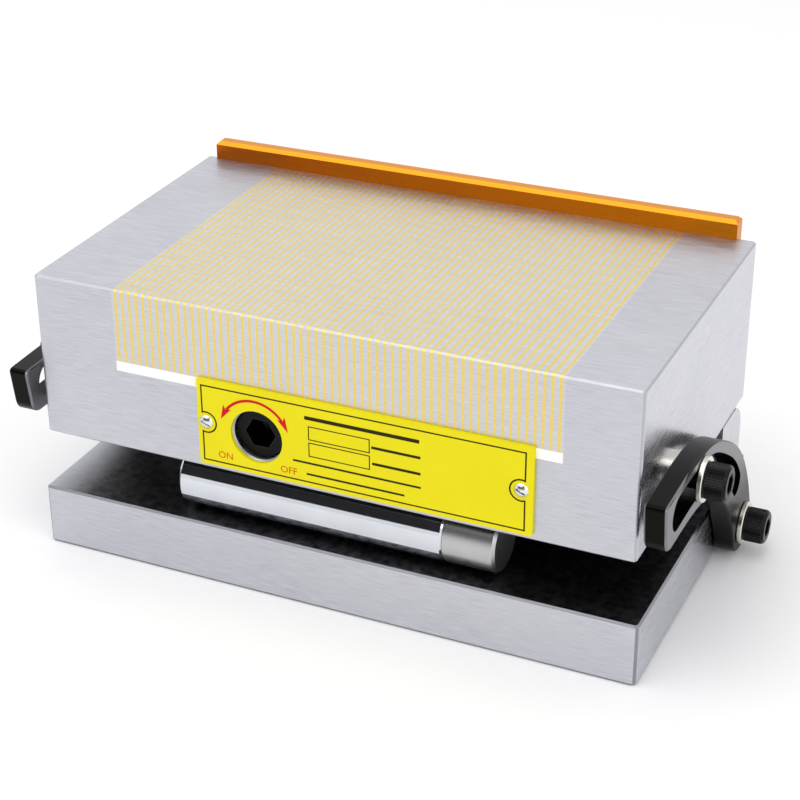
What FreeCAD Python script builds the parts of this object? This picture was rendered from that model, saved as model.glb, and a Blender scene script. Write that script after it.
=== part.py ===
import FreeCAD, Part
import math
import os

os.makedirs("parts", exist_ok=True)

# Single sine plate that carries a fine-pole permanent magnetic chuck.
# Millimetres. The origin is the middle of the base's underside.
# X runs along the row of poles, Y from the front face to the back, Z up.

# ---- base plate ----
base_overhang = 2.0
base_width = 100.0
base_height = 18.5
base_edge = 0.6
base_corner = 1.5

# ---- sine rollers and the tilt ----
roller_diameter = 18.0
roller_rest_gap = 0.3
roller_seat_depth = 0.3
roller_edge = 0.8
sine_length = 80.0
front_roller_setback = 10.0
hinge_setback = 10.0
front_roller_start = -46.0
front_roller_length = 80.0
front_roller_step = 0.3
end_piece_length = 14.7
tilt_limit = 45.0

# ---- chuck block ----
chuck_length = 175.0
chuck_height = 48.7
chuck_setback = 1.0
chuck_edge = 0.5
chuck_corner = 1.2

# ---- pole pack ----
pole_count = 60
pole_pitch = 2.16
brass_thickness = 0.86
pack_centre = 2.3
pack_depth = 21.4
pack_margin = 0.7
resin_thickness = 3.0

# ---- magnet cavity and its cover ----
roller_to_cavity = 10.0
cover_thickness = 3.5
cover_lip_side = 3.2
cover_lip_end = 8.0
cover_fit = 0.1
cover_screw_diameter = 3.0
cover_screw_head = 5.6
cover_screw_length = 8.0
cover_screw_spacing = 23.0
cover_screw_slot = 0.8

# ---- switch shaft ----
shaft_x = -19.2
shaft_height = 13.3
shaft_recess = 1.5
journal_diameter = 14.9
journal_fit = 0.05
journal_reach = 4.5
bore_lead_in = 0.6
shaft_edge = 0.5
shaft_diameter = 8.0
socket_across_flats = 8.0
socket_depth = 8.0
drill_point_depth = 2.2
drill_point_inset = 0.2
o_ring_section = 1.5
o_ring_setback = 8.0
o_ring_groove_width = 2.0
circlip_thickness = 1.2
circlip_outer = 18.0
circlip_gap = 0.4
circlip_groove_depth = 0.8
circlip_mouth = 5.0
eccentric_throw = 2.16
eccentric_diameter = 14.0
eccentric_length = 12.0
eccentric_play = 0.8
eccentric_edge = 0.4
pin_diameter = 2.0
pin_start = 6.0
pin_length = 9.5
bush_diameter = 12.0
bush_length = 11.0

# ---- magnet carriage ----
carriage_gap = 0.5
carriage_floor = 2.5
carriage_wall = 3.0
curb_width = 2.0
curb_height = 2.0
yoke_wall = 4.0
yoke_length = 18.0
magnet_thickness = 6.0
magnet_pitch = 8.64

# ---- stop rail ----
rail_start = -84.0
rail_end = 82.0
rail_thickness = 5.0
rail_rise = 5.6
rail_rebate = 1.5
rail_edge = 1.0
rail_screw_inset = 8.0
rail_screw_spacing = 11.0
rail_screw_diameter = 5.0
rail_screw_head = 9.4
rail_screw_length = 14.0
rail_socket_flats = 3.0
rail_socket_depth = 2.2

# ---- nameplate ----
plate_centre = 11.5
plate_length = 97.0
plate_height = 26.0
plate_thickness = 1.0
plate_foot = 1.7
plate_corner = 0.6
plate_hole_diameter = 15.6
plate_screw_inset_left = 2.5
plate_screw_inset_right = 3.3
plate_screw_diameter = 2.5
plate_screw_head = 4.0
plate_screw_length = 7.0
plate_screw_rise = 1.1
plate_slot_width = 0.6
plate_slot_depth = 0.7
plate_slot_turn = 25.0

# ---- clamping arms ----
arm_gap = 0.3
arm_thickness = 6.0
arm_tip_half_width = 7.2
arm_root_half_width = 8.6
slot_tip_half_width = 4.8
slot_root_half_width = 3.6
slot_raise = 0.6
arm_edge = 0.5
pivot_from_front = 76.3
pivot_height = 9.2
clamp_from_front = 26.3
clamp_above_bottom = 12.9
arm_line_front = ((-37.0, 0.1), (-30.0, 0.1), (-14.0, 0.2), (-7.0, 0.0), (0.7, -0.8))
arm_line_rear = ((-39.3, 37.3), (-26.8, 31.0), (-17.5, 24.9), (-7.9, 14.7))
arm_samples = 14
arm_nose_reach = 29.9
arm_nose_lean = 8.7
arm_nose_round_low = 4.5
arm_nose_round_high = 1.2
slot_tip = (-20.3, 0.1)
slot_root = (-9.7, 17.9)

# ---- clamp and pivot screws ----
cap_screw_diameter = 6.0
cap_head_diameter = 10.0
cap_head_height = 6.0
cap_socket_flats = 5.0
cap_socket_depth = 3.2
cap_edge = 0.5
washer_diameter = 12.4
washer_thickness = 1.2
washer_gap = 0.3
washer_edge = 0.2
thread_reach = 12.0
thread_end_gap = 0.5
screw_fit = 0.06
arm_pin_fit = 0.1

# ---- hinge lugs ----
lug_length = 12.0
lug_front_reach = 11.4
lug_gap = 0.3
hinge_pin_diameter = 10.0
hinge_pin_fit = 0.05
hinge_pin_seat = 20.0
hinge_pin_edge = 0.5
lug_end_wall = 2.0
lug_screw_diameter = 5.0
lug_screw_head = 8.5
lug_screw_head_height = 5.0
lug_screw_inset = 3.7
lug_screw_reach = 8.0
lug_head_fit = 0.25
lug_head_sink = 0.8
lug_dowel_diameter = 3.0
lug_dowel_depth = 8.0
lug_dowel_reach = 5.0

# ---- roller screws ----
roller_screw_diameter = 5.0
roller_screw_head = 8.5
roller_screw_head_height = 5.0
roller_screw_sink = 1.5
roller_screw_reach = 9.0
roller_head_fit = 0.2
front_screw_inset = 12.0
hinge_screw_spacing = 40.0

# ---- sockets of the upward screws, as shares of their heads, and cutters' overlap ----
up_socket_share = 0.5
up_socket_depth_share = 0.55
overcut = 1.0

# ---- places worked out from the values above ----
base_front = -base_width / 2
chuck_front = base_front + chuck_setback
roller_radius = roller_diameter / 2
roller_z = base_height + roller_rest_gap + roller_radius
chuck_bottom = roller_z + roller_radius - roller_seat_depth
chuck_top = chuck_bottom + chuck_height
chuck_end = chuck_length / 2
front_roller_y = chuck_front + front_roller_setback
hinge_y = front_roller_y + sine_length
chuck_rear = hinge_y + hinge_setback
pack_width = (pole_count - 1) * pole_pitch + brass_thickness + 2 * pack_margin
pack_left = pack_centre - pack_width / 2
pack_right = pack_centre + pack_width / 2
pack_bottom = chuck_top - pack_depth
resin_bottom = pack_bottom - resin_thickness
pack_rear = chuck_rear - rail_rebate
cavity_front = front_roller_y + roller_to_cavity
cavity_rear = hinge_y - roller_to_cavity
cavity_middle = (cavity_front + cavity_rear) / 2
cover_top = chuck_bottom + cover_thickness
shaft_z = chuck_bottom + shaft_height
shaft_front = chuck_front + shaft_recess
journal_end = cavity_front + journal_reach
base_end = chuck_end + base_overhang
arm_inner = base_end + arm_gap
arm_outer = arm_inner + arm_thickness
washer_inner = arm_outer + washer_gap
washer_outer = washer_inner + washer_thickness
pivot_y = base_front + pivot_from_front
clamp_y = chuck_front + clamp_from_front
clamp_z = chuck_bottom + clamp_above_bottom
lug_inner = chuck_end - lug_length
pin_end = chuck_end - lug_end_wall - hinge_pin_fit
lug_top = chuck_bottom - lug_gap
lug_radius = lug_top - roller_z
plate_bottom = chuck_bottom + plate_foot
plate_middle = plate_bottom + plate_height / 2


def vec(x, y, z):
    return FreeCAD.Vector(x, y, z)


def block(x0, x1, y0, y1, z0, z1):
    return Part.makeBox(x1 - x0, y1 - y0, z1 - z0, vec(x0, y0, z0))


def rod(radius, start, direction, length):
    return Part.makeCylinder(radius, length, vec(*start), vec(*direction))


def ring(outer, inner, start, direction, length):
    return rod(outer, start, direction, length).cut(rod(inner, start, direction, length))


def cone(r0, r1, start, direction, length):
    return Part.makeCone(r0, r1, length, vec(*start), vec(*direction))


def prism(points, push):
    corners = [vec(*p) for p in points]
    face = Part.Face(Part.makePolygon(corners + corners[:1]))
    return face.extrude(vec(*push))


def hexagon(across_flats, centre, depth):
    """Hexagonal prism that runs along +X from its centre point."""
    x, y, z = centre
    radius = across_flats / math.sqrt(3)
    turns = [math.radians(60 * n) for n in range(6)]
    corners = [(x, y + radius * math.cos(a), z + radius * math.sin(a)) for a in turns]
    return prism(corners, (depth, 0, 0))


def both_sides(shape):
    return Part.makeCompound([shape, mirrored(shape)])


def mirrored(shape):
    return shape.mirror(vec(0, 0, 0), vec(1, 0, 0))


def along_y(shape, x, y, z):
    """Turn a piece built along +X so that it runs along +Y from a point."""
    turned = shape.copy()
    turned.rotate(vec(0, 0, 0), vec(0, 0, 1), 90)
    turned.translate(vec(x, y, z))
    return turned


def export(name, shape):
    shape.exportStep("parts/%s.step" % name)
    print(name, len(shape.Solids), round(shape.Volume, 1))


def edges_where(shape, test):
    return [e for e in shape.Edges if test(e.BoundBox)]


# ---- base ----
def base_plate():
    plate = block(-base_end, base_end, base_front, base_front + base_width, 0, base_height)
    upright = edges_where(plate, lambda b: b.ZLength > base_height / 2)
    plate = plate.makeFillet(base_corner, upright)
    rims = edges_where(plate, lambda b: b.ZLength < 0.001)
    plate = plate.makeChamfer(base_edge, rims)
    for side in (-1, 1):
        plate = plate.cut(pivot_thread(side))
        plate = plate.cut(lug_fixing_holes(side))
    return plate


def pivot_thread(side):
    start = (side * (base_end - thread_reach), pivot_y, pivot_height)
    return rod(cap_screw_diameter / 2, start, (side, 0, 0), thread_reach)


def lug_screw_y():
    return hinge_y - lug_front_reach + lug_screw_inset


def lug_dowel_y():
    return hinge_y + lug_radius - lug_dowel_diameter


def lug_x(side):
    return side * (chuck_end - lug_length / 2)


def lug_screw_seat():
    return lug_screw_head_height + lug_head_sink


def lug_fixing_holes(side):
    x = lug_x(side)
    y = lug_screw_y()
    screw = rod(lug_screw_diameter / 2, (x, y, 0), (0, 0, 1), base_height)
    head = rod(lug_screw_head / 2 + lug_head_fit, (x, y, 0), (0, 0, 1), lug_screw_seat())
    dowel = rod(lug_dowel_diameter / 2, (x, lug_dowel_y(), base_height - lug_dowel_depth),
                (0, 0, 1), lug_dowel_depth)
    return screw.fuse(head).fuse(dowel)


def hinge_lug(side):
    x0 = lug_inner
    x1 = chuck_end
    front = hinge_y - lug_front_reach
    rear = hinge_y + lug_radius
    foot = block(x0, x1, front, rear, base_height, roller_z)
    top = block(x0, x1, front, hinge_y, roller_z, lug_top)
    round_top = rod(lug_radius, (x0, hinge_y, roller_z), (1, 0, 0), lug_length)
    lug = foot.fuse(top).fuse(round_top).removeSplitter()
    bore_radius = hinge_pin_diameter / 2 + hinge_pin_fit
    lug = lug.cut(rod(bore_radius, (x0, hinge_y, roller_z), (1, 0, 0), lug_length - lug_end_wall))
    x = lug_x(1)
    lug = lug.cut(rod(lug_screw_diameter / 2, (x, lug_screw_y(), base_height), (0, 0, 1),
                      lug_screw_reach))
    lug = lug.cut(rod(lug_dowel_diameter / 2, (x, lug_dowel_y(), base_height), (0, 0, 1),
                      lug_dowel_reach))
    return lug if side > 0 else mirrored(lug)


def cap_screw_up(x, y, z_seat, diameter, head, head_height, shank):
    """Socket cap screw that points up; its head hangs below the seat."""
    body = rod(diameter / 2, (x, y, z_seat), (0, 0, 1), shank)
    body = body.fuse(rod(head / 2, (x, y, z_seat - head_height), (0, 0, 1), head_height))
    socket = hexagon(head * up_socket_share, (0, 0, 0), head_height * up_socket_depth_share)
    socket.rotate(vec(0, 0, 0), vec(0, 1, 0), -90)
    socket.translate(vec(x, y, z_seat - head_height))
    return body.cut(socket)


def lug_screws():
    shank = base_height - lug_screw_seat() + lug_screw_reach
    screws = [cap_screw_up(lug_x(s), lug_screw_y(), lug_screw_seat(), lug_screw_diameter,
                           lug_screw_head, lug_screw_head_height, shank) for s in (-1, 1)]
    return Part.makeCompound(screws)


def lug_dowels():
    start = (lug_x(1), lug_dowel_y(), base_height - lug_dowel_depth)
    return both_sides(rod(lug_dowel_diameter / 2, start, (0, 0, 1),
                          lug_dowel_depth + lug_dowel_reach))


# ---- cap screws and washers at the ends ----
def cap_screw(x_head, y, z, x_tip):
    """Socket cap screw along X with its head outwards, on the right-hand side."""
    head = rod(cap_head_diameter / 2, (x_head, y, z), (1, 0, 0), cap_head_height)
    rim = edges_where(head, lambda b: b.XMin > x_head + cap_head_height - 0.001)
    head = head.makeChamfer(cap_edge, rim)
    socket = hexagon(cap_socket_flats, (x_head + cap_head_height - cap_socket_depth, y, z),
                     cap_socket_depth)
    shank = rod(cap_screw_diameter / 2, (x_tip, y, z), (1, 0, 0), x_head - x_tip)
    return head.cut(socket).fuse(shank)


def washer(y, z, inner):
    flat = ring(washer_diameter / 2, inner, (washer_inner, y, z), (1, 0, 0), washer_thickness)
    outer_rim = edges_where(flat, lambda b: b.XMin > washer_outer - 0.001
                            and b.ZLength > washer_diameter - washer_edge)
    return flat.makeChamfer(washer_edge, outer_rim)


def pivot_screws():
    return both_sides(cap_screw(washer_outer, pivot_y, pivot_height, base_end - thread_reach))


def pivot_washers():
    return both_sides(washer(pivot_y, pivot_height, cap_screw_diameter / 2))


def clamp_screw(side):
    screw = cap_screw(washer_outer, clamp_y, clamp_z, chuck_end - thread_reach)
    return screw if side > 0 else mirrored(screw)


def clamp_washer(side):
    flat = washer(clamp_y, clamp_z, cap_screw_diameter / 2)
    return flat if side > 0 else mirrored(flat)


def clamp_spacers():
    length = arm_inner - arm_gap - chuck_end
    spacer = ring(washer_diameter / 2, cap_screw_diameter / 2 + screw_fit,
                  (chuck_end, clamp_y, clamp_z), (1, 0, 0), length)
    return both_sides(spacer)


# ---- slotted arms ----
def arm_centre_line():
    points = [(clamp_y + dy, clamp_z + dz) for dy, dz in arm_line_front]
    points += [(pivot_y + dy, pivot_height + dz) for dy, dz in arm_line_rear]
    points.append((pivot_y, pivot_height))
    curve = Part.BSplineCurve()
    curve.interpolate([vec(0, y, z) for y, z in points])
    return curve


def band(curve, start, stop, start_half, stop_half, x0, length):
    """Strip about part of a curve, with round ends, pushed along X."""
    sides = {-1: [], 1: []}
    for n in range(arm_samples + 1):
        share = n / arm_samples
        at = start + (stop - start) * share
        half = start_half + (stop_half - start_half) * share
        point = curve.value(at)
        way = curve.tangent(at)[0]
        out = vec(0, -way.z, way.y).normalize()
        for side in sides:
            sides[side].append(point + out * (half * side))
    edges = []
    for side in sides:
        line = Part.BSplineCurve()
        line.interpolate(sides[side])
        edges.append(line.toShape())
    for at, reach, n in ((start, -start_half, 0), (stop, stop_half, -1)):
        way = curve.tangent(at)[0].normalize()
        tip = curve.value(at) + way * reach
        edges.append(Part.Arc(sides[-1][n], tip, sides[1][n]).toShape())
    outline = Part.Wire(Part.__sortEdges__(edges))
    strip = Part.Face(outline).extrude(vec(length, 0, 0))
    strip.translate(vec(x0, 0, 0))
    return strip


def arm_nose_cut():
    """Everything in front of the leaning line where the arm ends."""
    nose = clamp_y - arm_nose_reach
    reach = 2 * arm_nose_reach
    cut = block(arm_inner - overcut, arm_outer + overcut, nose - reach, nose,
                clamp_z - reach, clamp_z + reach)
    cut.rotate(vec(0, nose, clamp_z), vec(1, 0, 0), arm_nose_lean)
    return cut


def arm_blank():
    curve = arm_centre_line()
    arm = band(curve, curve.FirstParameter, curve.LastParameter, arm_tip_half_width,
               arm_root_half_width, arm_inner, arm_thickness)
    arm = arm.cut(arm_nose_cut())
    nose_end = clamp_y - arm_nose_reach + arm_tip_half_width
    for radius, low in ((arm_nose_round_low, True), (arm_nose_round_high, False)):
        corner = edges_where(arm, lambda b: b.XLength > arm_thickness / 2
                             and b.YMax < nose_end and (b.ZMax < clamp_z) == low)
        arm = arm.makeFillet(radius, corner)
    rims = edges_where(arm, lambda b: b.XLength < 0.001)
    return arm.makeChamfer(arm_edge, rims)


def arm_slot():
    curve = arm_centre_line()
    start = curve.parameter(vec(0, clamp_y + slot_tip[0], clamp_z + slot_tip[1]))
    stop = curve.parameter(vec(0, pivot_y + slot_root[0], pivot_height + slot_root[1]))
    slot = band(curve, start, stop, slot_tip_half_width, slot_root_half_width,
                arm_inner - overcut, arm_thickness + 2 * overcut)
    slot.translate(vec(0, 0, slot_raise))
    return slot


def clamp_arm(side):
    arm = arm_blank().cut(arm_slot())
    arm = arm.cut(rod(cap_screw_diameter / 2 + arm_pin_fit, (arm_inner, pivot_y, pivot_height),
                      (1, 0, 0), arm_thickness))
    return arm if side > 0 else mirrored(arm)


# ---- chuck block ----
def end_profile(x, rear, bottom):
    """Outline in the Y-Z plane with the bevel along the front top edge."""
    return [(x, chuck_front, bottom), (x, chuck_front, chuck_top - chuck_edge),
            (x, chuck_front + chuck_edge, chuck_top), (x, rear, chuck_top), (x, rear, bottom)]


def rail_rebate_cut():
    return block(rail_start, rail_end, pack_rear, chuck_rear + overcut, pack_bottom,
                 chuck_top + overcut)


def cavity():
    return block(pack_left, pack_right, cavity_front, cavity_rear, chuck_bottom, chuck_top)


def cover_outline(shrink):
    return block(pack_left - cover_lip_end + shrink, pack_right + cover_lip_end - shrink,
                 cavity_front - cover_lip_side + shrink, cavity_rear + cover_lip_side - shrink,
                 chuck_bottom, cover_top)


def cover_screw_places():
    rows = (-cover_screw_spacing, 0, cover_screw_spacing)
    ends = (pack_left - cover_lip_end / 2, pack_right + cover_lip_end / 2)
    return [(x, cavity_middle + y) for x in ends for y in rows]


def rail_screw_places():
    low = pack_bottom + (chuck_top - pack_bottom - rail_screw_spacing) / 2
    ends = (rail_start + rail_screw_inset, rail_end - rail_screw_inset)
    return [(x, low + step) for x in ends for step in (0, rail_screw_spacing)]


def front_roller_screw_places():
    span = front_roller_length
    return [front_roller_start + front_screw_inset,
            front_roller_start + span - front_screw_inset,
            front_roller_start + span + end_piece_length / 2]


def hinge_roller_screw_places():
    return [-hinge_screw_spacing, 0.0, hinge_screw_spacing]


def roller_thread(x, y):
    return rod(roller_screw_diameter / 2, (x, y, chuck_bottom), (0, 0, 1), roller_screw_reach)


def chuck_body():
    body = block(-chuck_end, chuck_end, chuck_front, chuck_rear, chuck_bottom, chuck_top)
    upright = edges_where(body, lambda b: b.ZLength > chuck_height / 2)
    body = body.makeFillet(chuck_corner, upright)
    rims = edges_where(body, lambda b: b.ZLength < 0.001)
    body = body.makeChamfer(chuck_edge, rims)
    body = body.cut(block(pack_left, pack_right, chuck_front - overcut, chuck_rear + overcut,
                          resin_bottom, chuck_top + overcut))
    body = body.cut(cavity())
    body = body.cut(cover_outline(0))
    body = body.cut(rail_rebate_cut())
    bore = journal_diameter / 2 + journal_fit
    body = body.cut(rod(bore, (shaft_x, chuck_front - overcut, shaft_z), (0, 1, 0),
                        cavity_front - chuck_front + 2 * overcut))
    body = body.cut(cone(bore + bore_lead_in, bore, (shaft_x, chuck_front, shaft_z),
                         (0, 1, 0), bore_lead_in))
    body = body.cut(rod(bush_diameter / 2, (shaft_x, cavity_rear - overcut, shaft_z), (0, 1, 0),
                        bush_length + 2 * overcut))
    for side in (-1, 1):
        start = (side * (chuck_end - thread_reach - thread_end_gap), clamp_y, clamp_z)
        body = body.cut(rod(cap_screw_diameter / 2 + screw_fit, start, (side, 0, 0),
                            thread_reach + overcut))
    for x, y in cover_screw_places():
        body = body.cut(rod(cover_screw_diameter / 2, (x, y, cover_top), (0, 0, 1),
                            cover_screw_length - cover_thickness))
    for x, z in rail_screw_places():
        body = body.cut(rod(rail_screw_diameter / 2, (x, pack_rear, z), (0, -1, 0),
                            rail_screw_length - rail_thickness))
    for x in plate_screw_places():
        body = body.cut(rod(plate_screw_diameter / 2, (x, chuck_front - overcut, plate_middle),
                            (0, 1, 0), overcut + plate_screw_length - plate_thickness))
    for x in front_roller_screw_places():
        body = body.cut(roller_thread(x, front_roller_y))
    for x in hinge_roller_screw_places():
        body = body.cut(roller_thread(x, hinge_y))
    body = body.cut(rod(roller_radius, (front_roller_start, front_roller_y, roller_z), (1, 0, 0),
                        front_roller_length + end_piece_length))
    half = lug_inner - lug_gap
    body = body.cut(rod(roller_radius, (-half, hinge_y, roller_z), (1, 0, 0), 2 * half))
    return body


def bottom_cover():
    cover = cover_outline(cover_fit)
    for x, y in cover_screw_places():
        cover = cover.cut(cover_screw_solid(x, y))
    return cover


def cover_screw_solid(x, y):
    sink = (cover_screw_head - cover_screw_diameter) / 2
    head = cone(cover_screw_head / 2, cover_screw_diameter / 2, (x, y, chuck_bottom),
                (0, 0, 1), sink)
    return head.fuse(rod(cover_screw_diameter / 2, (x, y, chuck_bottom), (0, 0, 1),
                         cover_screw_length))


def cover_screws():
    screws = []
    for x, y in cover_screw_places():
        slot = block(x - cover_screw_head, x + cover_screw_head, y - cover_screw_slot / 2,
                     y + cover_screw_slot / 2, chuck_bottom, chuck_bottom + cover_screw_slot)
        screws.append(cover_screw_solid(x, y).cut(slot))
    return Part.makeCompound(screws)


def pole_places():
    first = pack_centre - (pole_count - 1) * pole_pitch / 2
    return [first + n * pole_pitch for n in range(pole_count)]


def brass_strips():
    strips = [prism(end_profile(x - brass_thickness / 2, pack_rear, pack_bottom),
                    (brass_thickness, 0, 0)) for x in pole_places()]
    return Part.makeCompound(strips)


def steel_poles():
    places = pole_places()
    starts = [pack_left] + [x + brass_thickness / 2 for x in places]
    stops = [x - brass_thickness / 2 for x in places] + [pack_right]
    poles = [prism(end_profile(a, pack_rear, pack_bottom), (b - a, 0, 0))
             for a, b in zip(starts, stops)]
    return Part.makeCompound(poles)


def resin_seals():
    front = block(pack_left, pack_right, chuck_front, cavity_front, resin_bottom, pack_bottom)
    rear = block(pack_left, pack_right, cavity_rear, chuck_rear, resin_bottom, pack_bottom)
    return Part.makeCompound([front, rear])


# ---- stop rail ----
def stop_rail():
    rail = block(rail_start, rail_end, pack_rear, pack_rear + rail_thickness, pack_bottom,
                 chuck_top + rail_rise)
    top = edges_where(rail, lambda b: b.ZMin > chuck_top + rail_rise - 0.001)
    rail = rail.makeChamfer(rail_edge, top)
    for x, z in rail_screw_places():
        rail = rail.cut(rail_screw_solid(x, z))
    return rail


def rail_screw_solid(x, z):
    rear = pack_rear + rail_thickness
    sink = (rail_screw_head - rail_screw_diameter) / 2
    head = cone(rail_screw_head / 2, rail_screw_diameter / 2, (x, rear, z), (0, -1, 0), sink)
    return head.fuse(rod(rail_screw_diameter / 2, (x, rear, z), (0, -1, 0), rail_screw_length))


def rail_screws():
    screws = []
    for x, z in rail_screw_places():
        socket = along_y(hexagon(rail_socket_flats, (0, 0, 0), rail_socket_depth),
                         x, pack_rear + rail_thickness - rail_socket_depth, z)
        screws.append(rail_screw_solid(x, z).cut(socket))
    return Part.makeCompound(screws)


# ---- nameplate ----
def plate_screw_places():
    return [plate_centre - plate_length / 2 + plate_screw_inset_left,
            plate_centre + plate_length / 2 - plate_screw_inset_right]


def nameplate():
    x0 = plate_centre - plate_length / 2
    y0 = chuck_front - plate_thickness
    plate = block(x0, x0 + plate_length, y0, chuck_front, plate_bottom,
                  plate_bottom + plate_height)
    corners = edges_where(plate, lambda b: b.YLength > plate_thickness / 2)
    plate = plate.makeFillet(plate_corner, corners)
    through = plate_thickness + 2 * overcut
    plate = plate.cut(rod(plate_hole_diameter / 2, (shaft_x, y0 - overcut, shaft_z), (0, 1, 0),
                          through))
    for x in plate_screw_places():
        plate = plate.cut(rod(plate_screw_diameter / 2, (x, y0 - overcut, plate_middle),
                              (0, 1, 0), through))
    return plate


def plate_screws():
    y0 = chuck_front - plate_thickness
    radius = plate_screw_head / 2
    rise = plate_screw_rise
    dome_radius = (radius ** 2 + rise ** 2) / (2 * rise)
    screws = []
    for x in plate_screw_places():
        ball = Part.makeSphere(dome_radius, vec(x, y0 - rise + dome_radius, plate_middle))
        head = ball.common(rod(radius, (x, y0 - rise, plate_middle), (0, 1, 0), rise))
        slot = block(x - radius, x + radius, y0 - rise, y0 - rise + plate_slot_depth,
                     plate_middle - plate_slot_width / 2, plate_middle + plate_slot_width / 2)
        slot.rotate(vec(x, y0, plate_middle), vec(0, 1, 0), plate_slot_turn)
        shank = rod(plate_screw_diameter / 2, (x, y0, plate_middle), (0, 1, 0),
                    plate_screw_length)
        screws.append(head.cut(slot).fuse(shank))
    return Part.makeCompound(screws)


# ---- rollers ----
def roller_screw_seat():
    return roller_z - roller_radius + roller_screw_head_height + roller_screw_sink


def roller_screw_hole(x, y):
    seat = roller_screw_seat()
    low = roller_z - roller_radius - overcut
    hole = rod(roller_screw_diameter / 2, (x, y, low), (0, 0, 1), roller_diameter + 2 * overcut)
    return hole.fuse(rod(roller_screw_head / 2 + roller_head_fit, (x, y, low), (0, 0, 1),
                         seat - low))


def roller_bar(x0, length, y, radius):
    bar = rod(radius, (x0, y, roller_z), (1, 0, 0), length)
    rims = edges_where(bar, lambda b: b.XLength < 0.001)
    return bar.makeChamfer(roller_edge, rims)


def front_roller():
    bar = roller_bar(front_roller_start, front_roller_length, front_roller_y, roller_radius)
    for x in front_roller_screw_places()[:2]:
        bar = bar.cut(roller_screw_hole(x, front_roller_y))
    return bar


def roller_end_piece():
    x0 = front_roller_start + front_roller_length
    bar = rod(roller_radius - front_roller_step, (x0, front_roller_y, roller_z), (1, 0, 0),
              end_piece_length)
    rims = edges_where(bar, lambda b: b.XMin > x0 + end_piece_length - 0.001)
    bar = bar.makeChamfer(roller_edge, rims)
    x = front_roller_screw_places()[2]
    pad = rod(roller_screw_head / 2, (x, front_roller_y, roller_z), (0, 0, 1), roller_radius)
    pad = pad.common(rod(roller_radius, (x0, front_roller_y, roller_z), (1, 0, 0),
                         end_piece_length))
    return bar.fuse(pad).removeSplitter().cut(roller_screw_hole(x, front_roller_y))


def hinge_roller():
    half = lug_inner - lug_gap
    bar = roller_bar(-half, 2 * half, hinge_y, roller_radius)
    for x in hinge_roller_screw_places():
        bar = bar.cut(roller_screw_hole(x, hinge_y))
    for side in (-1, 1):
        bar = bar.cut(rod(hinge_pin_diameter / 2, (side * (half - hinge_pin_seat), hinge_y,
                                                   roller_z), (side, 0, 0), hinge_pin_seat))
    return bar


def hinge_pins():
    start = lug_inner - lug_gap - hinge_pin_seat
    pin = rod(hinge_pin_diameter / 2, (start, hinge_y, roller_z), (1, 0, 0), pin_end - start)
    rims = edges_where(pin, lambda b: b.XMin > pin_end - 0.001)
    return both_sides(pin.makeChamfer(hinge_pin_edge, rims))


def roller_screws():
    seat = roller_screw_seat()
    shank = chuck_bottom - seat + roller_screw_reach
    places = [(x, front_roller_y) for x in front_roller_screw_places()]
    places += [(x, hinge_y) for x in hinge_roller_screw_places()]
    return Part.makeCompound([cap_screw_up(x, y, seat, roller_screw_diameter, roller_screw_head,
                                           roller_screw_head_height, shank) for x, y in places])


# ---- switch shaft ----
def circlip_y():
    return cavity_front + circlip_gap


def switch_shaft():
    journal = journal_diameter / 2
    shaft = rod(journal, (shaft_x, shaft_front, shaft_z), (0, 1, 0), journal_end - shaft_front)
    rims = edges_where(shaft, lambda b: b.YLength < 0.001)
    shaft = shaft.makeChamfer(shaft_edge, rims)
    rear = cavity_rear + bush_length
    shaft = shaft.fuse(rod(shaft_diameter / 2, (shaft_x, journal_end, shaft_z), (0, 1, 0),
                           rear - journal_end))
    groove = ring(journal + overcut, journal - o_ring_section,
                  (shaft_x, shaft_front + o_ring_setback - o_ring_groove_width / 2, shaft_z),
                  (0, 1, 0), o_ring_groove_width)
    clip_groove = ring(journal + overcut, journal - circlip_groove_depth,
                       (shaft_x, circlip_y(), shaft_z), (0, 1, 0), circlip_thickness)
    socket = along_y(hexagon(socket_across_flats, (0, 0, 0), socket_depth),
                     shaft_x, shaft_front, shaft_z)
    point = cone(socket_across_flats / 2 - drill_point_inset, 0.0,
                 (shaft_x, shaft_front + socket_depth, shaft_z), (0, 1, 0), drill_point_depth)
    shaft = shaft.cut(groove).cut(clip_groove).cut(socket).cut(point)
    return shaft.cut(eccentric_pin())


def shaft_o_ring():
    """The round section is drawn with eight sides."""
    tube = o_ring_section / 2
    middle = journal_diameter / 2 - tube
    turns = [math.radians(22.5 + 45 * n) for n in range(8)]
    corners = [vec(shaft_x + middle + tube * math.cos(a),
                   shaft_front + o_ring_setback + tube * math.sin(a), shaft_z) for a in turns]
    section = Part.Face(Part.makePolygon(corners + corners[:1]))
    return section.revolve(vec(shaft_x, 0, shaft_z), vec(0, 1, 0), 360)


def shaft_circlip():
    clip = ring(circlip_outer / 2, journal_diameter / 2 - circlip_groove_depth,
                (shaft_x, circlip_y(), shaft_z), (0, 1, 0), circlip_thickness)
    return clip.cut(block(shaft_x - circlip_mouth / 2, shaft_x + circlip_mouth / 2,
                          circlip_y() - overcut, circlip_y() + circlip_thickness + overcut,
                          shaft_z, shaft_z + circlip_outer))


def eccentric():
    start = (shaft_x - eccentric_throw, cavity_middle - eccentric_length / 2, shaft_z)
    disc = rod(eccentric_diameter / 2, start, (0, 1, 0), eccentric_length)
    rims = edges_where(disc, lambda b: b.YLength < 0.001)
    disc = disc.makeChamfer(eccentric_edge, rims)
    disc = disc.cut(rod(shaft_diameter / 2, (shaft_x, start[1], shaft_z), (0, 1, 0),
                        eccentric_length))
    return disc.cut(eccentric_pin())


def eccentric_pin():
    return rod(pin_diameter / 2, (shaft_x - pin_start, cavity_middle, shaft_z), (1, 0, 0),
               pin_length)


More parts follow.
